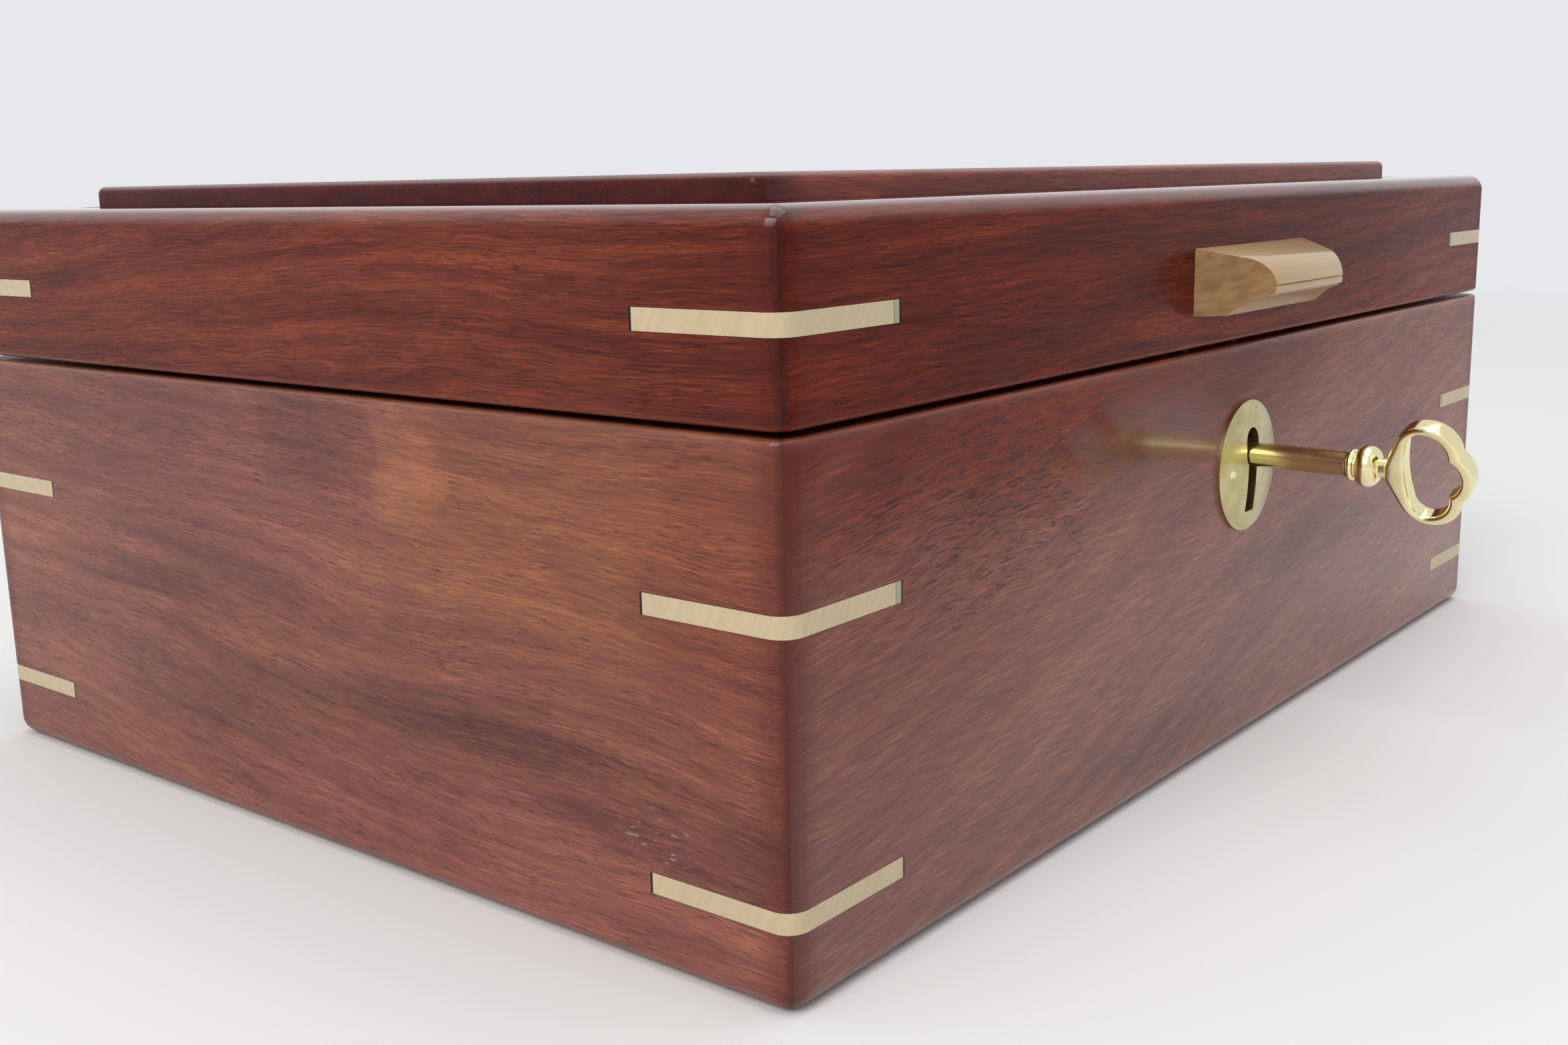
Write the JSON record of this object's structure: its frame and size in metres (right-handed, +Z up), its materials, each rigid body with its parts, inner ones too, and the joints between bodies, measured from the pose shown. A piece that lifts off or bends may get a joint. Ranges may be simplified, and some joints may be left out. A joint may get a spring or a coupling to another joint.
{
  "type": "keepsake box with lock",
  "caption": "Lockable mitred hardwood keepsake box with a hinged raised-panel lid, pale corner splines, timber lid lift, brass escutcheon and key.",
  "frame": {"origin": "middle of the case's underside, where the box rests", "axes": "+X to the right along the front, the face with the lock; +Y from the front to the hinges; +Z up"},
  "size_m": [0.284, 0.2601, 0.1136],
  "materials": {
    "case_wood": "red-brown hardwood, satin lacquer",
    "panel_wood": "darker red-brown hardwood, satin lacquer",
    "spline_wood": "pale cream timber, satin lacquer",
    "lift_wood": "pale honey timber, gloss lacquer",
    "polished_brass": "polished yellow brass",
    "dull_brass": "lightly tarnished yellow brass",
    "steel": "drawn steel"
  },
  "bodies": {
    "base": {"base_front": "case_wood", "base_right": "case_wood", "base_back": "case_wood", "base_left": "case_wood", "base_bottom": "case_wood", "base_splines_front_left": "spline_wood", "base_splines_front_right": "spline_wood", "base_splines_back_right": "spline_wood", "base_splines_back_left": "spline_wood", "escutcheon": "dull_brass", "escutcheon_pins": "polished_brass", "lock_plate": "polished_brass", "lock_cap": "dull_brass", "lock_post": "steel", "lock_screws": "polished_brass", "hinge_base_leaves": "polished_brass", "hinge_pins": "steel", "hinge_base_screws": "polished_brass"},
    "lid": {"lid_front": "case_wood", "lid_right": "case_wood", "lid_back": "case_wood", "lid_left": "case_wood", "lid_panel": "panel_wood", "lid_spline_front_left": "spline_wood", "lid_spline_front_right": "spline_wood", "lid_spline_back_right": "spline_wood", "lid_spline_back_left": "spline_wood", "lid_lift": "lift_wood", "link_plate": "polished_brass", "link_staples": "dull_brass", "link_screws": "polished_brass", "hinge_lid_leaves": "polished_brass", "hinge_lid_screws": "polished_brass"},
    "key": {"key": "polished_brass"},
    "lock_bolt": {"lock_bolt": "dull_brass"}
  },
  "joints": [
    {"name": "lid_hinge", "type": "hinge", "parent": "base", "child": "lid", "pos_m": [0, 0.1085, 0.08045], "axis": [-1, 0, 0], "range_deg": [0, 100]},
    {"name": "key_turn", "type": "hinge", "parent": "base", "child": "key", "pos_m": [0, -0.106, 0.05865], "axis": [0, -0.9998, -0.0175], "range_deg": [-23, 337]},
    {"name": "bolt_slide", "type": "slide", "parent": "base", "child": "lock_bolt", "axis": [1, 0, 0], "range_m": [-0.00035, 0.00515]}
  ],
  "couplings": [
    {"joint": "key_turn", "follows": "bolt_slide", "rad_per_m": 1142.4}
  ]
}
